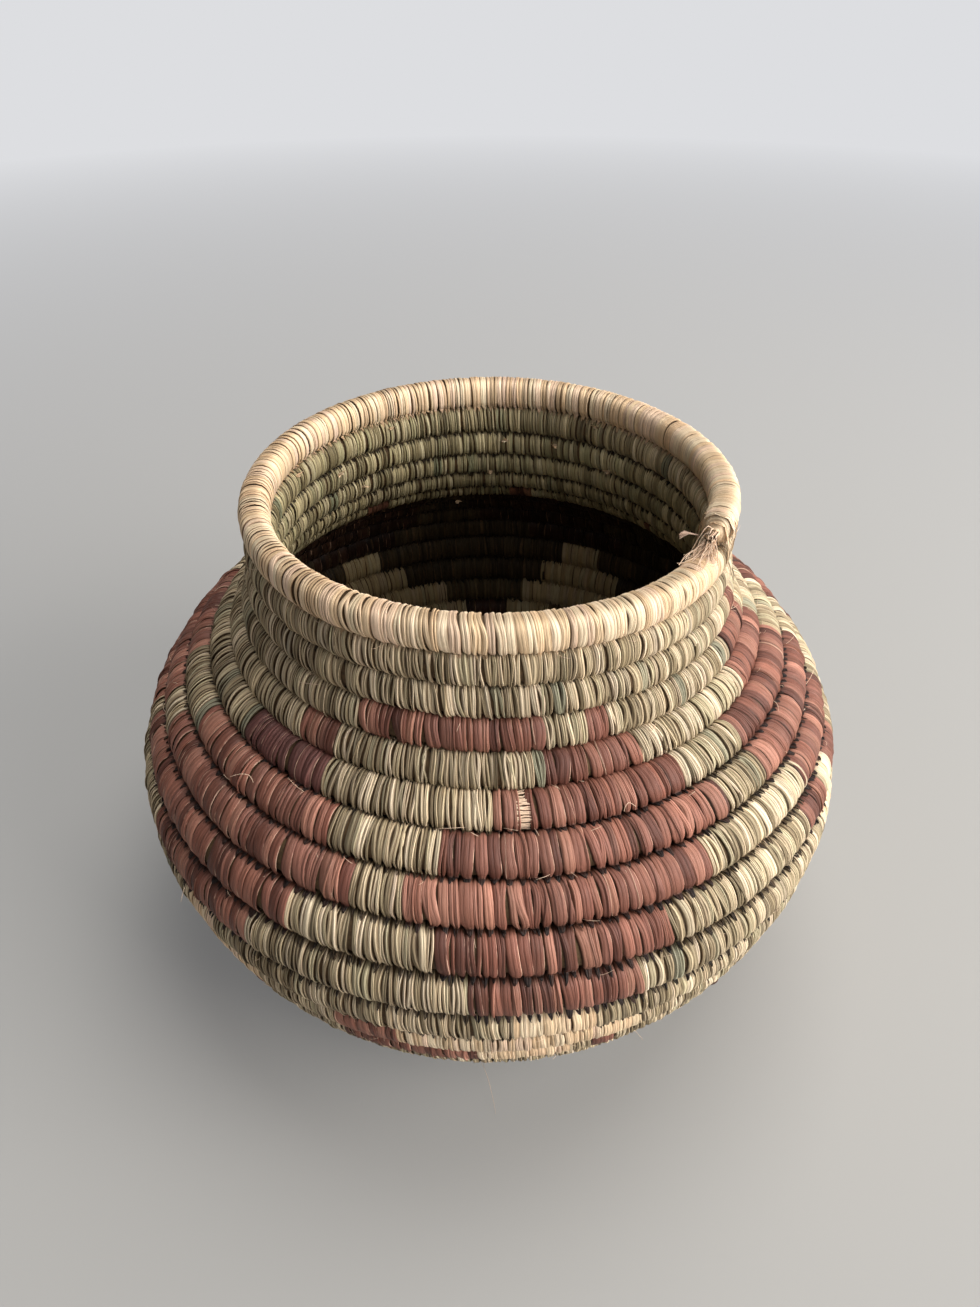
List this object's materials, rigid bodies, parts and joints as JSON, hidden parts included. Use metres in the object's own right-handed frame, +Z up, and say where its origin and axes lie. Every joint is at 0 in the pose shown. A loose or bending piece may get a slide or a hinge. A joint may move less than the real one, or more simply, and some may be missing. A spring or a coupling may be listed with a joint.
{
  "type": "coiled basket",
  "caption": "Round-bellied coiled basket with a narrow open neck: a spiral bundle of grass wrapped and stitched with leaf strips in a stepped pattern.",
  "frame": {"origin": "middle of the flat foot, on the floor", "axes": "+Z up through the mouth; +X to the right and -Y towards the viewer of the picture, with the coil's tail on the rim 60 degrees from the front towards +X"},
  "size_m": [0.2325, 0.2325, 0.1684],
  "materials": {
    "straw_leaf": "dry undyed palm leaf strip, satin",
    "olive_leaf": "dry folded leaf strip, dull olive, with rust and straw blocks of the stepped pattern",
    "rust_leaf": "dry leaf strip dyed rust brown, satin, with olive blocks between the motifs",
    "grass_stems": "dry grass stems, rough"
  },
  "bodies": {
    "root": {"round_01_rim": "straw_leaf", "round_02_neck": "olive_leaf", "round_03_neck": "olive_leaf", "round_04_neck": "olive_leaf", "round_05_shoulder": "olive_leaf", "round_06_shoulder": "olive_leaf", "round_07_shoulder": "rust_leaf", "round_08_shoulder": "rust_leaf", "round_09_belly": "olive_leaf", "round_10_belly": "olive_leaf", "round_11_belly": "olive_leaf", "round_12_haunch": "olive_leaf", "round_13_haunch": "olive_leaf", "round_14_haunch": "olive_leaf", "round_15_haunch": "olive_leaf", "round_16_haunch": "olive_leaf", "round_17_foot": "olive_leaf", "round_18_foot": "olive_leaf", "round_19_base": "olive_leaf", "round_20_base": "olive_leaf", "round_21_base": "olive_leaf", "round_22_base": "olive_leaf", "round_23_base": "olive_leaf", "round_24_base": "olive_leaf", "round_25_base": "olive_leaf", "foundation": "grass_stems", "start_knot": "olive_leaf", "last_stitch": "straw_leaf", "strip_end": "straw_leaf"}
  },
  "joints": []
}
